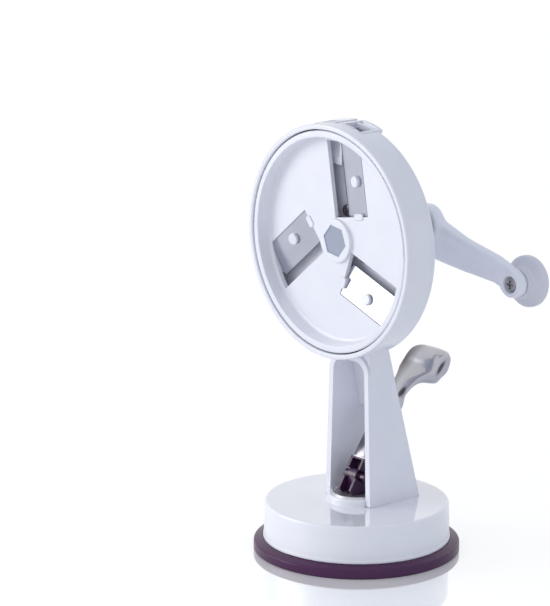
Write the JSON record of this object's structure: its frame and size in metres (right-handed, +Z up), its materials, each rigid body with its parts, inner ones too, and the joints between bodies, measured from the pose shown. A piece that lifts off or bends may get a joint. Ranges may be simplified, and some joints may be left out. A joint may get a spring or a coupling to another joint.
{
  "type": "bean slicer with crank",
  "caption": "Hand-cranked bean slicer: bladed disc in an open drum on an arched pedestal, with a lever-locked suction foot and a side crank with a turning knob.",
  "frame": {"origin": "centre of the rubber cup's underside, on the table", "axes": "+Z up, -Y towards the open front of the drum, +Y along the drive shaft towards the crank, +X to the right seen from the front"},
  "size_m": [0.1203, 0.1231, 0.2175],
  "materials": {
    "purple_rubber": "semi-gloss dark purple rubber",
    "purple_plastic": "glossy dark purple",
    "white_plastic": "glossy white",
    "shaft_plastic": "grey-blue hard plastic",
    "bush_plastic": "matte",
    "lever_chrome": "satin chrome",
    "steel_plate": "plated",
    "screw_steel": "plated",
    "blade_steel": "ground"
  },
  "bodies": {
    "base": {"base_cup": "white_plastic", "pedestal": "white_plastic", "drum_housing": "white_plastic", "housing_screws": "screw_steel", "cam_washer": "steel_plate", "shaft_bush_front": "bush_plastic", "shaft_bush_rear": "bush_plastic", "suction_cup": "purple_rubber"},
    "rotor": {"drive_shaft": "shaft_plastic", "shaft_clip": "screw_steel", "blade_disc": "white_plastic", "blade_1": "blade_steel", "blade_2": "blade_steel", "blade_3": "blade_steel", "crank_arm": "white_plastic", "crank_screw": "screw_steel", "knob_spindle": "screw_steel", "knob_screw": "screw_steel"},
    "knob": {"knob": "white_plastic", "knob_cap": "white_plastic"},
    "stem": {"lift_stem": "purple_plastic"},
    "lever": {"suction_lever": "lever_chrome"}
  },
  "joints": [
    {"name": "crank_spin", "type": "hinge", "parent": "base", "child": "rotor", "pos_m": [0, 0, 0.1594], "axis": [0, 1, 0], "continuous": true},
    {"name": "knob_spin", "type": "hinge", "parent": "rotor", "child": "knob", "pos_m": [0.04948, 0.0663, 0.13538], "axis": [0, 1, 0], "continuous": true},
    {"name": "stem_lift", "type": "slide", "parent": "base", "child": "stem", "axis": [0, 0, 1], "range_m": [0, 0.003], "deforming": ["suction_cup"]},
    {"name": "lever_turn", "type": "hinge", "parent": "stem", "child": "lever", "pos_m": [0, 0, 0.0372], "axis": [-1, 0, 0], "range_deg": [0, 45]}
  ],
  "couplings": [
    {"joint": "stem_lift", "follows": "lever_turn", "m_per_rad": 0.0038197}
  ]
}
